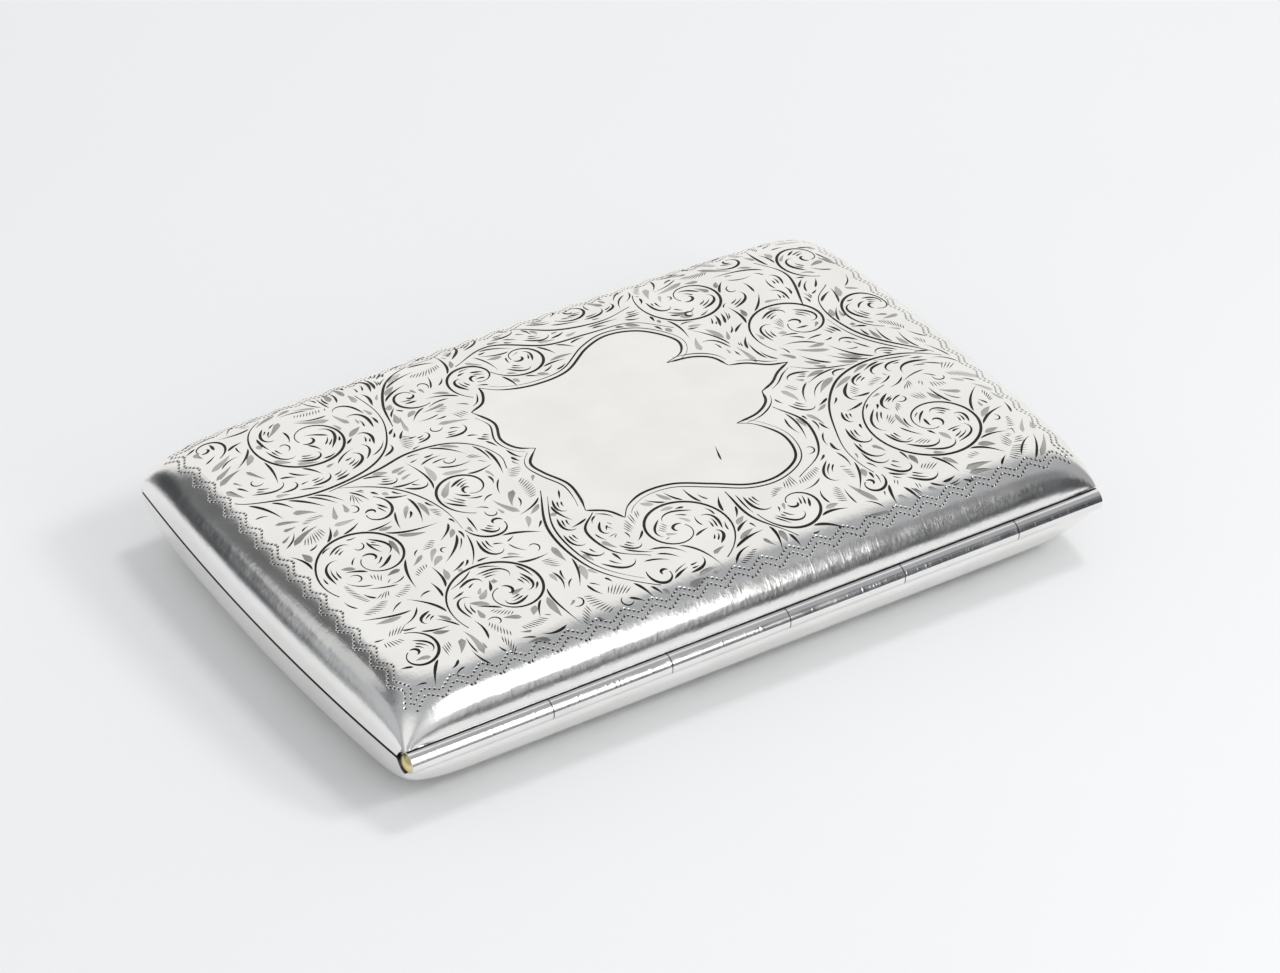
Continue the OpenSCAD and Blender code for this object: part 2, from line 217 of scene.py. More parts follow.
class Plate:
    """The strokes cut so far, and a raster of where they are."""

    CELL = 0.1
    HX, HY = 50.0, 34.0

    def __init__(self):
        self.strokes = []
        self.flow = []
        gx, gy = np.meshgrid(*(
            np.arange(int(2 * half / self.CELL)) * self.CELL - half + self.CELL / 2
            for half in (self.HX, self.HY)), indexing="ij")
        self.grid = np.stack([gx.ravel(), gy.ravel()], 1)
        self.taken = room(gx, gy) < 0

    def cell(self, p):
        p = np.atleast_2d(p)
        i = ((p[:, 0] + self.HX) / self.CELL).astype(int).clip(0, self.taken.shape[0] - 1)
        j = ((p[:, 1] + self.HY) / self.CELL).astype(int).clip(0, self.taken.shape[1] - 1)
        return i, j

    def free(self, p):
        return ~self.taken[self.cell(p)]

    def mark(self, p, r):
        """Takes the room within r of each point."""
        n = max(1, int(r / self.CELL))
        for a in range(-n, n + 1):
            for b in range(-n, n + 1):
                if a * a + b * b <= n * n + 1:
                    i, j = self.cell(p + np.array([a, b]) * self.CELL)
                    self.taken[i, j] = True

    def cut(self, kind, p, half, clear):
        """Keeps a stroke: its line, its half width along it, and the room round it."""
        half = np.broadcast_to(half, len(p)).astype(float).copy()
        self.strokes.append((kind, p, half))
        quarters = [p[:-1] + (p[1:] - p[:-1]) * t for t in (0, 0.25, 0.5, 0.75)]
        self.mark(np.vstack(quarters + [p[-1:]]), clear + half.max())

    def grow(self, kind, p, half, clear, least, skip=0):
        """Cuts a stroke up to the first taken place, if that leaves the least length."""
        ok = self.free(p)
        ok[:skip] = True
        n = len(p) if ok.all() else int(np.argmin(ok))
        if n < 3 or np.linalg.norm(np.diff(p[:n], axis=0), axis=1).sum() < least:
            return False
        half = np.interp(np.linspace(0, 1, n), np.linspace(0, 1, len(half)), half)
        self.cut(kind, p[:n], half, clear)
        return True

    def twin(self, p, wide, gap, side):
        """A strong line, and a lighter one beside it where there is room."""
        self.flow.append(p)
        self.grow(LINE, p, taper(len(p), wide, 0.35, 0.35), clear=0.12, least=1.5, skip=3)
        beside = (p + normals(p) * gap * side)[2:]
        run = []
        for point, good in zip(beside, self.free(beside)):
            if good:
                run.append(point)
                continue
            # a run is cut where it meets something, and one that is still open at the end is not
            if len(run) > 5:
                self.cut(LINE, np.array(run), taper(len(run), wide * 0.7, 0.4, 0.25), 0.12)
            run = []

    def bars(self, row, reach, slant):
        """A patch of fine parallel cuts, longest in the middle of the row."""
        out = []
        for j in range(len(row) - 1):
            t = row[j + 1] - row[j]
            a = math.atan2(t[1], t[0]) + slant
            d = np.array([math.cos(a), math.sin(a)])
            h = reach * (0.5 + 0.5 * math.sin(math.pi * (j + 0.8) / (len(row) - 0.4)))
            out.append(np.array([row[j] - d * h * 0.5, row[j], row[j] + d * h * 0.5]))
        good = [b for b in out if self.free(b).all()]
        if len(good) > 3:
            for b in good:
                self.strokes.append((HATCH, b, np.array([0.035, 0.075, 0.0])))
                self.mark(b, 0.2)


def cut_field(plate):
    """The field's outline: a strong line and a lighter one outside it, broken at the points."""
    arcs = field_arcs()
    ring = np.vstack(arcs)
    plate.taken |= inside(plate.grid, ring).reshape(plate.taken.shape)
    for arc, after in zip(arcs, arcs[1:] + arcs[:1]):
        p = np.vstack([arc, after[:1]])
        t = np.linspace(0, 1, len(p))
        plate.cut(LINE, p, 0.19 * np.clip(np.minimum(t, 1 - t) * 8, 0.35, 1), 0.1)
        if len(p) > 9:
            q = (p + normals(p) * 0.72)[2:-2]
            if inside(q[len(q) // 2:][:1], ring)[0]:
                q = (p - normals(p) * 0.72)[2:-2]
            plate.cut(LINE, q, taper(len(q), 0.12, end=0.3), 0.15)


def cut_turns(plate):
    """The scrolls with their buds, and the stems: each line, its inner side and its centre."""
    turned = []
    for cx, cy, r_out, r_in, start, sweep in SCROLLS:
        p = volute(cx, cy, r_out, r_in, start, sweep)
        side = 1 if sweep > 0 else -1
        p = p[np.argmax(room(p[:, 0], p[:, 1]) > 0):]
        plate.twin(p, 0.2, 0.72, side)
        turned.append((p, side, (cx, cy)))
        bud = volute(cx, cy, r_in, 0.25, start + sweep + 20 * side, 200 * side)
        plate.cut(LINE, bud, taper(len(bud), 0.2, 0.4), 0.1)
    for stem in STEMS:
        p = smooth(stem, 0.6)
        p = p[room(p[:, 0], p[:, 1]) > -0.2]
        plate.twin(p, 0.19, 0.75, 1)
        turned.append((p, 1, None))
    return turned


def cut_lobes(plate, turned, rng):
    """Lobes that curl over inside each turn, veins under them and a patch of fine cuts behind."""
    for p, side, _ in turned:
        run = arc_length(p)
        at = rng.uniform(0.5, 2.0)
        while at < run[-1] - 2.5:
            i, t = place_at(p, run, at)
            a = math.atan2(t[1], t[0])
            n = np.array([-math.sin(a), math.cos(a)]) * side
            long = rng.uniform(3.0, 6.0)
            curl = side * rng.uniform(2.2, 3.6)
            start = p[i] + n * rng.uniform(1.25, 1.6)
            lobe = hook(start, a + side * rng.uniform(-0.05, 0.3), long, curl)
            half = taper(len(lobe), rng.uniform(0.16, 0.23), 0.42, 0.04)
            if plate.grow(LINE, lobe, half, clear=0.18, least=1.7):
                for v in (1, 2):
                    start = lobe[1] + n * 0.5 * v
                    vein = hook(start, a + side * 0.12, long * (0.6 - 0.14 * v), curl * 0.3)
                    plate.grow(LINE, vein, taper(len(vein), 0.12, 0.3, 0.03), 0.14, 0.8)
                wedge = hook(lobe[0] + n * 0.3, a - side * 0.1, long * 0.5, -curl * 0.25)
                half = taper(len(wedge), rng.uniform(0.3, 0.5), 0.22)
                plate.grow(CUT, wedge, half, clear=0.02, least=0.7)
                if rng.random() < 0.8:
                    row = along(lobe + n * rng.uniform(0.9, 1.3), 0.4)[:rng.randint(7, 12)]
                    plate.bars(row, rng.uniform(1.0, 1.7), side * rng.uniform(0.9, 1.4))
            at += rng.uniform(2.6, 4.6)


def cut_echoes(plate, turned, rng):
    """Long arcs that echo the turns where there is room."""
    for p, side, center in turned:
        for reach in (1.4, 2.2):
            echo = p + normals(p) * side * reach
            at = rng.randint(0, 3)
            while at < len(p) - 6:
                n = rng.randint(7, 16)
                arc = echo[at:at + n]
                if center is None or np.linalg.norm(arc[0] - center) > 2.0:
                    half = taper(len(arc), rng.uniform(0.12, 0.18), 0.35, 0.02)
                    plate.grow(LINE, arc, half, clear=0.16, least=1.5)
                at += n + rng.randint(0, 2)


def cut_leaves(plate, turned, rng):
    """Leaves off the scrolls and the stems: a long curved edge, then veins that follow it."""
    for p, side, _ in turned:
        run = arc_length(p)
        at = rng.uniform(0.8, 1.8)
        while at < run[-1] - 1:
            i, t = place_at(p, run, at)
            t = t / max(np.linalg.norm(t), 1e-9)
            for out in (-side, side):
                if out == side and rng.random() < 0.4:
                    continue
                n = np.array([-t[1], t[0]]) * out
                long = rng.uniform(2.4, 5.4)
                base = p[i] + n * (0.36 if out == -side else 1.05)
                bend = rng.uniform(0.3, 0.8)
                s = np.linspace(0, 1, 11)[:, None]
                q = base + t * long * s + n * long * (0.2 * s + bend * s**2)
                half = taper(11, rng.uniform(0.15, 0.22), 0.35, 0.03)
                if not plate.grow(LINE, q, half, clear=0.14, least=1.2):
                    continue
                for v in range(rng.choice((0, 1, 2, 3))):
                    s = np.linspace(0, 0.75 - 0.2 * v, 8)[:, None]
                    start = base + (t * 0.42 - n * 0.12) * (v + 1)
                    r = start + t * long * s * 0.8 + n * long * (0.15 * s + bend * 0.8 * s**2)
                    half = taper(8, 0.1 if v else 0.12, 0.3, 0.03)
                    plate.grow(HATCH if v else LINE, r, half, clear=0.1, least=0.6)
                if rng.random() < 0.75:
                    s = np.linspace(0.15, 0.8, 8)[:, None]
                    shift = n * long * (0.1 * s + bend * 0.75 * s**2)
                    r = base + t * (long * s * 0.9 + 0.9) + shift
                    half = taper(8, rng.uniform(0.28, 0.5), 0.45, 0.02)
                    plate.grow(CUT, r, half, clear=0.02, least=0.8)
            at += rng.uniform(2.0, 3.4)


def fill_rest(plate, rng):
    """Small cuts wherever there is room, each led by the nearest scroll or stem."""
    lines = np.vstack(plate.flow)
    ways = np.vstack([np.gradient(p, axis=0) for p in plate.flow])
    ways /= np.maximum(np.linalg.norm(ways, axis=1, keepdims=True), 1e-9)
    for tries, lengths in FILLS:
        for _ in range(tries):
            c = np.array([rng.uniform(-46, 46), rng.uniform(-29.2, 30.2)])
            pick = rng.random()
            long = rng.uniform(*lengths)
            turn = rng.uniform(-1, 1)
            bend = rng.choice((-1, 1)) * rng.uniform(0.1, 0.28)
            wide = rng.uniform(0.7, 1.2)
            if not plate.free(c)[0]:
                continue
            t = ways[int(np.argmin(((lines - c) ** 2).sum(1)))]
            a = math.atan2(t[1], t[0]) + turn * 0.3
            t = np.array([math.cos(a), math.sin(a)])
            n = np.array([-t[1], t[0]])
            s = np.linspace(-0.5, 0.5, 7)[:, None]
            p = c + t * long * s + n * long * bend * (0.25 - s**2) * 2
            if not plate.free(p).all():
                continue
            if pick < 0.34:
                plate.cut(LINE, p, taper(7, 0.15 * wide, 0.3), 0.2)
            elif pick < 0.7:
                reach = rng.uniform(1.1, 2.2)
                slant = rng.choice((-1, 1)) * rng.uniform(0.8, 1.3)
                plate.bars(along(p + n * 0.1, 0.4), reach, slant)
            elif pick < 0.92:
                q = c + t * long * s + n * long * bend * (0.25 - s**2)
                half = taper(7, 0.27 * wide * min(1.5, long / 1.6), rng.choice((0.18, 0.3)))
                plate.cut(CUT, q, half, 0.04)
            else:
                sweep = 230 if bend > 0 else -230
                curl = volute(c[0], c[1], min(1.1, long * 0.45), 0.3, math.degrees(a), sweep)
                if plate.free(curl).all():
                    plate.cut(LINE, curl, taper(len(curl), 0.11, 0.4), 0.15)


def cut_wear(plate):
    """Two small marks of use: a nick and a spot."""
    nick = smooth(((7.7, -11.4), (8.0, -10.4), (8.7, -8.4)))
    share = np.linspace(0, 1, len(nick))
    plate.cut(LINE, nick, np.interp(share, (0, 0.25, 1), (0.01, 0.16, 0.01)), 0.1)
    spot = volute(22.5, 18.8, 0.55, 0.45, 0, 330)
    plate.cut(LINE, spot, taper(len(spot), 0.14, 0.5, 0.4), 0.1)


def engrave(seed=11):
    """The strokes of the foliage, in the order in which they are cut: kind, line, half widths."""
    rng = random.Random(seed)
    plate = Plate()
    cut_field(plate)
    turned = cut_turns(plate)
    cut_lobes(plate, turned, rng)
    cut_echoes(plate, turned, rng)
    cut_leaves(plate, turned, rng)
    fill_rest(plate, rng)
    cut_wear(plate)
    return plate.strokes


def border(inset=2.85, half_tooth=1.95, swing=0.55, gap=0.4, beads=4, ring_r=0.22, floor_r=0.115):
    """Punched beads in two rows along a zigzag that follows the edge."""
    out = []
    hx, hy = CASE_L / 2 - inset, CASE_W / 2 - inset
    corners = [np.array(c) for c in ((-hx, -hy), (hx, -hy), (hx, hy), (-hx, hy))]
    for a, b in zip(corners, corners[1:] + corners[:1]):
        long = np.linalg.norm(b - a)
        t = (b - a) / long
        n = np.array([-t[1], t[0]])
        halves = round(long / half_tooth)
        for row in (-gap, gap):
            turns = [a + t * long * k / halves + n * ((swing if k % 2 else -swing) + row)
                     for k in range(halves + 1)]
            for p, q in zip(turns, turns[1:]):
                way = (q - p) / np.linalg.norm(q - p)
                for d in range(beads):
                    c = p + (q - p) * (d + 0.5) / beads
                    # a bright ring round a dark floor
                    for kind, r in ((BEAD, ring_r), (LINE, floor_r)):
                        line = np.array([c - way * r, c, c + way * r])
                        out.append((kind, line, np.array([0.55, 1.0, 0.55]) * r))
    return out


# ---- skins ----
EDGE = 1.6  # width of the plain turned edge, which carries no cuts
RIM_ROWS = EDGE * (np.arange(10) / 9) ** 2.8
ROLL_ROWS = EDGE + (ROLL_W - EDGE) * np.linspace(0, 1, 13)[1:] ** 1.15
RIM_CHAMFER = 0.07  # how much higher the rim's outer edge stands than its inner one
LEAST_RISE = 0.02  # the skin stands at least this much above the rim
POINTED = 0.02  # a stroke ends in a point where its half width is less than this
FACET_LEAN = 0.45  # how far the bottom of a facet lies to one side
MERGE = 1e-5  # points of the plan closer than this become one
MARGIN = 0.05  # every cut stays at least this far inside the plain edge
TURNED_AWAY = 0.2  # least agreement between a corner's shading and its face's direction


def rows(span, extra=()):
    """Places across the case from rim to rim, close together where the metal turns."""
    insets = np.concatenate([RIM_ROWS, ROLL_ROWS])
    reach = span / 2 - ROLL_W
    flat = np.linspace(-reach, reach, int(2 * reach / 1.5))[1:-1]
    flat = np.sort([*(v for v in flat if all(abs(v - e) > 0.4 for e in extra)), *extra])
    return np.concatenate([insets - span / 2, flat, (span / 2 - insets)[::-1]])


def ease(t):
    """The profile of the turned edge, from 0 at the rim to 1 where it meets the top."""
    return (1 - (1 - np.clip(t, 0, 1)) ** ROLL_P) ** (1 / ROLL_Q)


def skin(x0, y0, t=0.0, dome=0.0, notch=0.0):
    """Points of a cushion skin that lies t inside the outer one, with the seam at zero."""
    l, w = CASE_L - 2 * t, CASE_W - 2 * t
    fx, fy = 1 - (2 * x0 / l) ** 2, 1 - (2 * y0 / w) ** 2
    x = x0 * (1 + 2 * SIDE_BOW / l * fy)
    y = np.where(y0 > 0, y0 * (1 + 2 * FRONT_BOW / w * fx), y0)
    ix, iy = l / 2 - np.abs(x0), w / 2 - np.abs(y0)
    a, b = (np.maximum(ease(i / ROLL_W), 0.001) ** -CORNER_M for i in (ix, iy))
    z = (HALF_H - t) * (a + b - 1) ** (-1 / CORNER_M) + dome * fx * fy
    clear = np.sqrt(np.maximum(0, CLEAR_R**2 - (y - AXIS_Y) ** 2))
    low = np.maximum(clear, SEAM_GAP / 2 + (0.0 if t else RIM_CHAMFER))
    low = np.where((y0 > 0) & (np.abs(x0) < NOTCH_HALF), np.maximum(low, notch), low)
    edge = np.minimum(ix, iy)
    return np.stack([x, y, np.where(edge < 1e-6, low, np.maximum(z, low + LEAST_RISE))], -1)


def skin_normals(x0, y0, dome):
    """Directions of the outer skin, from its slope close to each place."""
    e = 0.02
    lim_x, lim_y = CASE_L / 2 - 0.03, CASE_W / 2 - 0.03
    x, y = np.clip(x0, -lim_x, lim_x), np.clip(y0, -lim_y, lim_y)
    du = skin(x + e, y, dome=dome) - skin(x - e, y, dome=dome)
    dv = skin(x, y + e, dome=dome) - skin(x, y - e, dome=dome)
    n = np.cross(du, dv)
    return n / np.linalg.norm(n, axis=1, keepdims=True)


def unbow(p):
    """From a place on the case to the place on the straight-sided plan."""
    x, y = p[:, 0], p[:, 1]
    fy = 1 - (2 * y / CASE_W) ** 2
    x0 = x / (1 + 2 * SIDE_BOW / CASE_L * fy)
    fx = 1 - (2 * x0 / CASE_L) ** 2
    return np.stack([x0, np.where(y > 0, y / (1 + 2 * FRONT_BOW / CASE_W * fx), y)], 1)


def ring_of(nx, ny):
    """The outer places of a grid, in order round it."""
    ring = [(i, 0) for i in range(nx - 1)] + [(nx - 1, j) for j in range(ny - 1)]
    ring += [(i, ny - 1) for i in range(nx - 1, 0, -1)] + [(0, j) for j in range(ny - 1, 0, -1)]
    return ring


def triangulate(strokes, gx, gy):
    """One flat triangulation of the cut part of the plan: points, triangles and their kinds."""
    ny = len(gy)
    points = [(x, y) for x in gx for y in gy]
    loop = [i * ny + j for i, j in ring_of(len(gx), ny)]
    edges = list(zip(loop, loop[1:] + loop[:1]))
    faces, kinds = [], []

    def add(p):
        first = len(points)
        points.extend(map(tuple, p))
        return list(range(first, len(points)))

    inner = (gx[-1] - MARGIN, gy[-1] - MARGIN)
    for kind, p, half in strokes:
        n = normals(p)
        tips = half[0] < POINTED, half[-1] < POINTED
        body = slice(1 if tips[0] else 0, len(p) - 1 if tips[1] else len(p))
        left, right = ((p + n * half[:, None] * way)[body] for way in (1, -1))
        outline = [*left, *(p[-1:] if tips[1] else ()), *right[::-1], *(p[:1] if tips[0] else ())]
        outline = unbow(np.array(outline))
        if (np.abs(outline) > inner).any() or len(outline) < 3:
            continue
        # a face is named by the side on its left, so every outline runs anticlockwise
        turn = np.roll(outline, -1, axis=0)
        if (outline[:, 0] * turn[:, 1] - turn[:, 0] * outline[:, 1]).sum() < 0:
            outline = outline[::-1]
        faces.append(add(outline))
        kinds.append(kind)
        if kind != HATCH:
            lean = FACET_LEAN if kind == CUT else 0.0
            mid = add(unbow((p + n * half[:, None] * lean)[1:-1]))
            edges.extend(zip(mid, mid[1:]))
    flat, _, tris, _, _, source = delaunay_2d_cdt(
        [Vector(p) for p in points], edges, faces, 0, MERGE, True)
    # where strokes cross, the darkest kind of cut wins
    found = [{kinds[k] for k in s} for s in source]
    rank = [next((k for k in (LINE, HATCH, CUT, BEAD) if k in f), PLAIN) for f in found]
    return np.array([v[:] for v in flat]), np.array(tris), np.array(rank)


def shell(name, plan, flip, dome, notch):
    """An engraved half as one closed mesh: the cut outside, the turned rim and the inside."""
    gx, gy, flat, tris, rank = plan
    nx, ny = len(gx), len(gy)
    k = len(RIM_ROWS) - 1
    top = skin(flat[:, 0], flat[:, 1], dome=dome)
    shade = skin_normals(flat[:, 0], flat[:, 1], dome)
    # a point with cut metal all round it lies at the bottom of its cut
    sunk = np.ones(len(flat), bool)
    sunk[tris[rank == PLAIN].ravel()] = False
    depth = np.zeros(len(flat))
    for kind, d in DEPTH:
        depth[tris[rank == kind].ravel()] = d
    top[sunk] -= shade[sunk] * depth[sunk, None]

    # the frame of plain metal round it, whose inner ring is shared with the triangulation
    index, frame_places = {}, []
    key = {(round(x, 4), round(y, 4)): i for i, (x, y) in enumerate(flat)}
    for i in range(nx):
        for j in range(ny):
            if k <= i <= nx - 1 - k and k <= j <= ny - 1 - k:
                if i in (k, nx - 1 - k) or j in (k, ny - 1 - k):
                    index[i, j] = key[round(gx[i], 4), round(gy[j], 4)]
            else:
                index[i, j] = len(flat) + len(frame_places)
                frame_places.append((gx[i], gy[j]))
    fx, fy = np.array(frame_places).T
    first_in = len(flat) + len(frame_places)
    ix, iy = (a.ravel() for a in np.meshgrid(
        *(np.sign(g) * (np.abs(g) - WALL) for g in (gx, gy)), indexing="ij"))
    points = np.vstack([top, skin(fx, fy, dome=dome, notch=notch),
                        skin(ix, iy, t=WALL, dome=dome, notch=notch)])
    # inside, the same directions turned round, taken a little way in from the rim
    lim_x, lim_y = CASE_L / 2 - 0.1, CASE_W / 2 - 0.1
    shades = np.vstack([shade, skin_normals(fx, fy, dome), -skin_normals(
        np.clip(ix, -lim_x, lim_x), np.clip(iy, -lim_y, lim_y), dome)])

    def inner_at(i, j):
        return first_in + i * ny + j

    faces, mats = [tuple(t) for t in tris], list(rank)
    for i in range(nx - 1):
        for j in range(ny - 1):
            if not (k <= i < nx - 1 - k and k <= j < ny - 1 - k):
                faces.append((index[i, j], index[i + 1, j], index[i + 1, j + 1], index[i, j + 1]))
                mats.append(PLAIN)
    for i in range(nx - 1):
        for j in range(ny - 1):
            faces.append((inner_at(i, j), inner_at(i, j + 1),
                          inner_at(i + 1, j + 1), inner_at(i + 1, j)))
            mats.append(INSIDE)
    ring = ring_of(nx, ny)
    for p, q in zip(ring, ring[1:] + ring[:1]):
        faces.append((index[p], inner_at(*p), inner_at(*q), index[q]))
        mats.append(TURNED)
    mirror = -1 if flip else 1
    points[:, 2] = SEAM_Z + mirror * points[:, 2]
    shades[:, 2] *= mirror
    if flip:
        faces = [f[::-1] for f in faces]
    mesh = bpy.data.meshes.new(name)
    mesh.from_pydata((points * MM).tolist(), [], faces)
    mesh.polygons.foreach_set("material_index", mats)
    mesh.polygons.foreach_set("use_smooth", [True] * len(faces))
    mesh.update()

    # plain metal keeps the shading of the true curve, and a cut has flat walls
    vertex = np.zeros(len(mesh.loops), int)
    mesh.loops.foreach_get("vertex_index", vertex)
    owner = np.repeat(np.arange(len(faces)), [len(f) for f in faces])
    face_normals = np.zeros(len(faces) * 3)
    mesh.polygons.foreach_get("normal", face_normals)
    flat_wall = face_normals.reshape(-1, 3)[owner]
    curved = np.isin(np.array(mats)[owner], (PLAIN, INSIDE))
    corner = np.where(curved[:, None], shades[vertex], flat_wall)
    # where a corner's shading would face away from its own face, the face's direction is kept
    away = (corner * flat_wall).sum(1) < TURNED_AWAY
    corner[away] = flat_wall[away]
    mesh.normals_split_custom_set(corner.tolist())
    return add_object(name, mesh)


def add_object(name, data):
    obj = bpy.data.objects.new(name, data)
    bpy.context.scene.collection.objects.link(obj)
    return obj


# ---- materials ----
FINE = 0.00003  # height of the fine marks of handling, in metres
RUB_FADE = (0.0058, 0.0078)  # how far off the seam the duller sides fade out, in metres


class Shader:
    """A node material, with short ways to add nodes to it."""

    def __init__(self, name, color, rough, metallic=1.0):
        self.mat = bpy.data.materials.new(name)
        self.mat.use_nodes = True
        self.tree = self.mat.node_tree
        self.bsdf = self.tree.nodes["Principled BSDF"]
        self.bsdf.inputs["Metallic"].default_value = metallic
        self.bsdf.inputs["Base Color"].default_value = (*color, 1)
        self.bsdf.inputs["Roughness"].default_value = rough
        self.place = self.add("ShaderNodeTexCoord").outputs["Object"]

    def add(self, kind, **values):
        """A node, its values given by attribute or by input name with _ for a space."""
        node = self.tree.nodes.new(kind)
        for key, value in values.items():
            if hasattr(node, key):
                setattr(node, key, value)
            else:
                node.inputs[key.replace("_", " ")].default_value = value
        return node

    def link(self, a, b):
        self.tree.links.new(a, b)

    def noise(self, scale, detail=3.0, stretch=(1, 1, 1), turn=0.0):
        mapping = self.add("ShaderNodeMapping", Scale=stretch, Rotation=(0, 0, turn))
        self.link(self.place, mapping.inputs["Vector"])
        node = self.add("ShaderNodeTexNoise", Scale=scale, Detail=detail)
        self.link(mapping.outputs[0], node.inputs["Vector"])
        return node.outputs["Fac"]

    def ramp(self, fac, a, b, low, high):
        """From a to b as the factor goes from low to high."""
        node = self.add("ShaderNodeMapRange", From_Min=low, From_Max=high, To_Min=a, To_Max=b)
        self.link(fac, node.inputs["Value"])
        return node.outputs[0]

    def math(self, operation, first, second=None):
        node = self.add("ShaderNodeMath", operation=operation)
        self.link(first, node.inputs[0])
        if isinstance(second, float):
            node.inputs[1].default_value = second
        elif second:
            self.link(second, node.inputs[1])
        return node.outputs[0]

    def tint(self, fac, a, b):
        """The base colour, from a to b by the factor. Without a, b goes over what is there."""
        node = self.add("ShaderNodeMix", data_type="RGBA")
        if a:
            node.inputs["A"].default_value = (*a, 1)
        else:
            self.link(self.bsdf.inputs["Base Color"].links[0].from_socket, node.inputs["A"])
        node.inputs["B"].default_value = (*b, 1)
        self.link(fac, node.inputs["Factor"])
        self.link(node.outputs["Result"], self.bsdf.inputs["Base Color"])

    def bump(self, height, strength, distance):
        """One more bump on top of those before it."""
        node = self.add("ShaderNodeBump", Strength=strength, Distance=distance)
        self.link(height, node.inputs["Height"])
        before = self.bsdf.inputs["Normal"].links
        if before:
            self.link(before[0].from_socket, node.inputs["Normal"])
        self.link(node.outputs[0], self.bsdf.inputs["Normal"])


def metal(name, light, dark, rough, worn=0.06, marks=0.25, scratch=0.12, sides=0.0, seam_shade=None):
    """Handled metal: cloudy tone, uneven polish and fine scratches.

    sides: how much duller the turned sides of the case are rubbed.
    seam_shade: from how far to how far off the seam a painted dark line, standing for the shade in
    the seam gap, fades out, in metres.
    """
    s = Shader(name, light, rough)
    s.tint(s.ramp(s.noise(120.0, 4.0), 0.0, 1.0, 0.35, 0.7), light, dark)
    if sides or seam_shade:
        split = s.add("ShaderNodeSeparateXYZ")
        s.link(s.place, split.inputs[0])
        off_seam = s.math("ABSOLUTE", s.math("SUBTRACT", split.outputs["Z"], SEAM_Z * MM))
    # painted shade: the metal darkens close to the seam, for the shadow in the gap between lid and
    # base
    if seam_shade:
        s.tint(s.ramp(off_seam, 1.0, 0.0, *seam_shade), None, (0.02, 0.018, 0.016))
    polish = s.ramp(s.noise(260.0, 5.0), rough, rough + worn, 0.3, 0.75)
    if sides:
        polish = s.math("ADD", polish, s.ramp(off_seam, sides, 0.0, *RUB_FADE))
        s.bump(s.noise(300.0, 2.0, (0.6, 0.6, 1)), 0.3, 0.00025)
        s.bump(s.noise(1700.0, 4.0), 0.16, 0.00009)
    s.link(polish, s.bsdf.inputs["Roughness"])
    s.bump(s.noise(95.0, 2.0), marks, FINE)
    for turn in (0.5, 1.25, 2.3):
        lines = s.noise(900.0, 2.0, (1, 0.03, 0.25), turn)
        s.bump(s.ramp(lines, 0.0, 1.0, 0.6, 0.7), scratch, FINE)
    return s.mat


GOLD = ((0.93, 0.74, 0.42), (0.84, 0.62, 0.32), 0.16, 0.08)
# the silver darkens into painted seam shade close to the seam
SILVER = metal("silver", (0.95, 0.945, 0.93), (0.9, 0.89, 0.87), 0.09, worn=0.05, marks=0.2,
               sides=0.1, seam_shade=(0.00017, 0.00026))
SILVER_IN = metal("silver_inside", (0.93, 0.92, 0.9), (0.9, 0.89, 0.865), 0.2, marks=0.12,
                  scratch=0.1)
RIM = metal("silver_rim", (0.95, 0.94, 0.92), (0.9, 0.89, 0.86), 0.14)
CUT_LINE = metal("cut_line", (0.06, 0.058, 0.055), (0.025, 0.024, 0.023), 0.42, worn=0.15)
CUT_FINE = metal("cut_fine", (0.1, 0.097, 0.093), (0.05, 0.048, 0.046), 0.4, worn=0.15)
CUT_BRIGHT = metal("cut_bright", (0.6, 0.595, 0.58), (0.2, 0.197, 0.19), 0.26, worn=0.12,
                   marks=0.8, scratch=0.5)
PUNCHED = metal("silver_punched", (0.85, 0.845, 0.83), (0.62, 0.615, 0.6), 0.18, worn=0.1,
                marks=0.4, scratch=0.2)
HINGE = metal("silver_hinge", (0.93, 0.925, 0.92), (0.84, 0.83, 0.82), 0.12, worn=0.1,
              marks=0.8, scratch=0.22)
# painted shade: the turned rim inside the seam gap is coloured dark for the shade there
SEAM_SHADE = metal("seam_painted_shade", (0.2, 0.19, 0.18), (0.1, 0.095, 0.09), 0.4, worn=0.15)
GILT = metal("gilt", *GOLD)
# the gilt bezel darkens into painted seam shade close to the seam too
BEZEL = metal("gilt_bezel", *GOLD, seam_shade=(0.0002, 0.00026))
STEEL = metal("steel", (0.62, 0.62, 0.62), (0.48, 0.48, 0.49), 0.26, worn=0.12)
SPRING = metal("spring_steel", (0.55, 0.56, 0.58), (0.4, 0.42, 0.46), 0.3, worn=0.12)
BRASS = metal("brass", (0.86, 0.76, 0.42), (0.7, 0.58, 0.28), 0.24, worn=0.12)

# ---- the engraved halves ----
notch_sides = [s * (NOTCH_HALF + d) for s in (-1, 1) for d in (-0.05, 0.05)]
XS, YS = rows(CASE_L, notch_sides), rows(CASE_W)
edge_at = len(RIM_ROWS) - 1
strokes = engrave() + border()
plan = (XS, YS, *triangulate(strokes, XS[edge_at:-edge_at], YS[edge_at:-edge_at]))
for piece, node, body, flip, dome, notch, slot in (
    ("lid_engraved", "lid_shell", "lid", False, DOME, 0.0, "silver_lid"),
    ("base_engraved", "base_shell", "base", True, 0.0, NOTCH_DEEP, "silver_base"),
):
    made = shell(piece, plan, flip, dome, notch)
    # the turned rim takes the painted seam shade
    for m in (SILVER, CUT_LINE, CUT_FINE, CUT_BRIGHT, SILVER_IN, SEAM_SHADE, PUNCHED):
        made.data.materials.append(m)
    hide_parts(node)
    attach(made, body)
    print(piece, len(made.data.polygons), "faces")

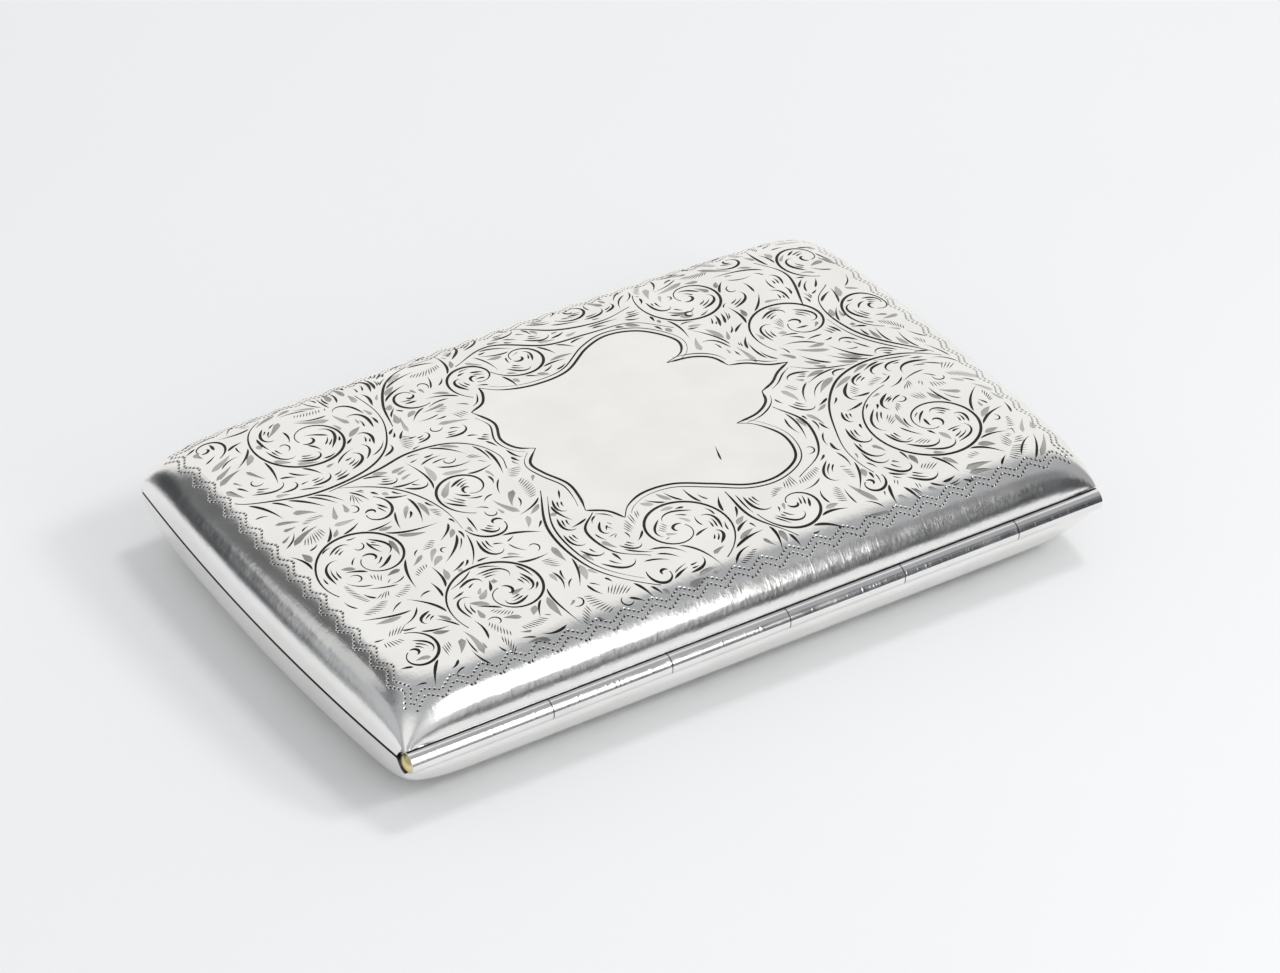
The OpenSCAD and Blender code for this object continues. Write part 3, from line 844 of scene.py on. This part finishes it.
# ---- the small works keep their CAD shapes ----
FINISH = {
    "base_bezel": BEZEL, "card_bar": GILT, "catch_button": RIM, "catch_bolt": STEEL,
    "catch_posts": RIM, "catch_rivets": STEEL, "lid_keeper": RIM, "bar_pivots": STEEL,
    "bar_lugs": RIM, "hinge_pin": STEEL, "hinge_plug_near": BRASS, "hinge_plug_far": BRASS,
}
for name, node in nodes.items():
    finish = HINGE if "knuckle" in name else FINISH.get(name)
    if finish:
        node.data.materials.clear()
        node.data.materials.append(finish)

# real edges are never quite sharp
SHARP = math.radians(40)
for name, width in (
    ("catch_button", 0.3), ("card_bar", 0.12), ("catch_bolt", 0.08), ("lid_keeper", 0.08),
    ("catch_posts", 0.1),
):
    soft = nodes[name].modifiers.new("edge", "BEVEL")
    soft.width = width * MM
    soft.segments = 2
    soft.limit_method = "ANGLE"
    soft.angle_limit = SHARP


def spring_half(name, node, side):
    """One side of a spring, from a copy of the CAD's mesh cut at its middle."""
    made = add_object(name, nodes[node].data.copy())
    work = bmesh.new()
    work.from_mesh(made.data)
    bmesh.ops.remove_doubles(work, verts=work.verts[:], dist=1e-7)
    bmesh.ops.bisect_plane(
        work, geom=work.verts[:] + work.edges[:] + work.faces[:], plane_co=(0, 0, 0),
        plane_no=(side, 0, 0), clear_inner=True)
    rim = [e for e in work.edges if e.is_boundary]
    if rim:
        bmesh.ops.edgenet_fill(work, edges=rim)
    bmesh.ops.recalc_face_normals(work, faces=work.faces[:])
    open_edges = sum(1 for e in work.edges if not e.is_manifold)
    print(name, len(work.faces), "faces", open_edges, "open edges")
    work.to_mesh(made.data)
    work.free()
    made.data.shade_smooth()
    made.data.set_sharp_from_angle(angle=SHARP)
    made.data.materials.clear()
    made.data.materials.append(SPRING)
    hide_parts(node)
    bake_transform(made)


# the flat catch spring and the wire springs of the card bar, each cut into a left and a right half
for side, word in ((-1, "left"), (1, "right")):
    spring_half("catch_spring_" + word, "catch_spring", side)
    spring_half("bar_spring_" + word, "bar_springs", side)

# ---- camera: its place round the middle of the seam, in degrees and millimetres ----
AZ, EL = math.radians(-32.466), math.radians(35.138)
DISTANCE, ASIDE, ABOVE = 633.79, 2.593, 0.940
back = Vector((math.sin(AZ) * math.cos(EL), -math.cos(AZ) * math.cos(EL), math.sin(EL)))
right = Vector((math.cos(AZ), math.sin(AZ), 0))
up = back.cross(right)
camera = add_object("camera", bpy.data.cameras.new("camera"))
camera.location = (back * DISTANCE + right * ASIDE + up * ABOVE + Vector((0, 0, SEAM_Z))) * MM
camera.rotation_euler = Matrix((right, up, back)).transposed().to_euler()
camera.data.lens = 142.8
camera.data.sensor_width = 36
camera.data.clip_start, camera.data.clip_end = 0.01, 20
camera.data.dof.use_dof = False
bpy.context.scene.camera = camera

# ---- floor ----
FLOOR_Z = -0.00003  # a hair below the case, so that the two faces never coincide
NEAR = (0.082, 0.066)  # half size of the paper that shows in the polished sides
FAR = (3.0, 3.0)
paper = Shader("paper", (0.8, 0.805, 0.81), 0.7, 0.0)
paper.tint(paper.ramp(paper.noise(9.0), 0, 1, 0.3, 0.7), (0.80, 0.805, 0.812), (0.815, 0.82, 0.825))
paper.bump(paper.noise(1500.0), 0.05, 0.0001)


def sheet_ring(name, inner, outer, count, spokes=96):
    """A flat ring of paper whose edges are rounded rectangles; inner and outer are half sizes."""
    verts, faces = [], []
    for r in range(count + 1):
        k = (r / count) ** 2
        hx, hy = (a + (b - a) * k for a, b in zip(inner, outer))
        for s in range(spokes):
            a = 2 * math.pi * s / spokes
            x, y = (math.copysign(abs(v) ** 0.5, v) for v in (math.cos(a), math.sin(a)))
            verts.append((hx * x, hy * y, FLOOR_Z))
    for r in range(count):
        a, b = r * spokes, (r + 1) * spokes
        faces += [(a + s, b + s, b + (s + 1) % spokes, a + (s + 1) % spokes) for s in range(spokes)]
    mesh = bpy.data.meshes.new(name)
    mesh.from_pydata(verts, [], faces)
    mesh.materials.append(paper.mat)
    obj = add_object(name, mesh)
    return obj


sheet_ring("floor", (0.0002, 0.0002), NEAR, 12)
# black flags stand round a real table top: the far paper doesn't show in the polished sides
sheet_ring("floor_far", NEAR, FAR, 16).visible_glossy = False

# ---- light ----
world = bpy.data.worlds.new("studio")
bpy.context.scene.world = world
world.use_nodes = True
tree = world.node_tree
direction = tree.nodes.new("ShaderNodeTexCoord").outputs["Generated"]
ray = tree.nodes.new("ShaderNodeLightPath").outputs


def facing(way, low, high):
    """Rises from 0 to 1 as a direction turns towards the given one."""
    dot = tree.nodes.new("ShaderNodeVectorMath")
    dot.operation = "DOT_PRODUCT"
    dot.inputs[1].default_value = way
    tree.links.new(direction, dot.inputs[0])
    step = tree.nodes.new("ShaderNodeMapRange")
    step.interpolation_type = "SMOOTHSTEP"
    step.inputs["From Min"].default_value, step.inputs["From Max"].default_value = low, high
    tree.links.new(dot.outputs["Value"], step.inputs["Value"])
    return step.outputs[0]


def over(under, color, amount):
    """A colour laid over what is under it."""
    mix = tree.nodes.new("ShaderNodeMix")
    mix.data_type = "RGBA"
    tree.links.new(under, mix.inputs["A"])
    mix.inputs["B"].default_value = (*color, 1)
    tree.links.new(amount, mix.inputs["Factor"])
    return mix.outputs["Result"]


base_tone = tree.nodes.new("ShaderNodeRGB")
base_tone.outputs[0].default_value = (0.38, 0.385, 0.395, 1)
tone = base_tone.outputs[0]
WHITE, GAP, CARD = (0.9, 0.897, 0.88), (0.035, 0.038, 0.043), (0.62, 0.625, 0.635)
for color, way, low, high in (
    # the ceiling and the large white boards behind and to the left
    ((0.40, 0.41, 0.43), (0, 0, 1), 0.2, 0.95),
    ((0.85, 0.85, 0.84), (-0.65, -0.55, 0.52), 0.74, 0.92),
    (WHITE, (0.44, 0.69, 0.5756), 0.68, 0.86),
    (WHITE, (0.537, 0.844, 0), 0.48, 0.72),
    # dark gaps that show in the left side and the hinge side
    (GAP, (-0.5577, 0.8268, 0.0698), 0.94, 0.965),
    ((0.12, 0.122, 0.127), (-0.504, 0.645, 0.574), 0.9, 0.97),
    ((0.16, 0.163, 0.17), (0.49, -0.71, 0.5), 0.95, 0.98),
    ((0.13, 0.133, 0.14), (0.484, -0.806, 0.342), 0.966, 0.985),
    (GAP, (0.4745, -0.874, 0.1045), 0.9455, 0.974),
    (GAP, (0.509, -0.847, -0.156), 0.966, 0.985),
    # grey cards that show in the near halves of those sides
    ((0.5, 0.51, 0.53), (-0.870, 0.462, 0.174), 0.945, 0.962),
    (CARD, (0.202, -0.876, 0.438), 0.968, 0.977),
    (CARD, (0.2244, -0.972, 0.0698), 0.968, 0.977),
):
    tone = over(tone, color, facing(way, low, high))
# matt surfaces are lit by the same even white all round
tone = over(tone, (0.72, 0.725, 0.73), ray["Diffuse Depth"])
# the backdrop itself is pale wherever the camera looks past the paper
tone = over(tone, (0.82, 0.825, 0.83), ray["Is Camera Ray"])
tree.links.new(tone, tree.nodes["Background"].inputs["Color"])


def lamp(name, place, aim, size, power):
    """A soft box that only the scene sees, not the camera."""
    data = bpy.data.lights.new(name, "AREA")
    data.shape = "RECTANGLE"
    data.size, data.size_y = size
    data.energy = power
    obj = add_object(name, data)
    obj.location = place
    obj.visible_camera = False
    obj.rotation_euler = (Vector(aim) - Vector(place)).to_track_quat("-Z", "Y").to_euler()
    return obj


lamp("top_box", (0.46, 0.05, 1.2), (0, 0, 0), (0.26, 0.26), 3.1).visible_glossy = False
lamp("front_box", (0.74, -0.62, 0.82), (0, 0, 0), (0.24, 0.24), 3.5).visible_glossy = False
lamp("side_box", (0.108, -0.33, 0.22), (-0.03, -0.03, 0.01), (0.08, 0.28), 0.22)
lamp("left_box", (-0.155, 0.1, 0.1), (-0.05, -0.02, 0.01), (0.05, 0.07), 0.006)
bpy.context.scene.view_settings.view_transform = "Standard"
bpy.context.scene.view_settings.look = "None"
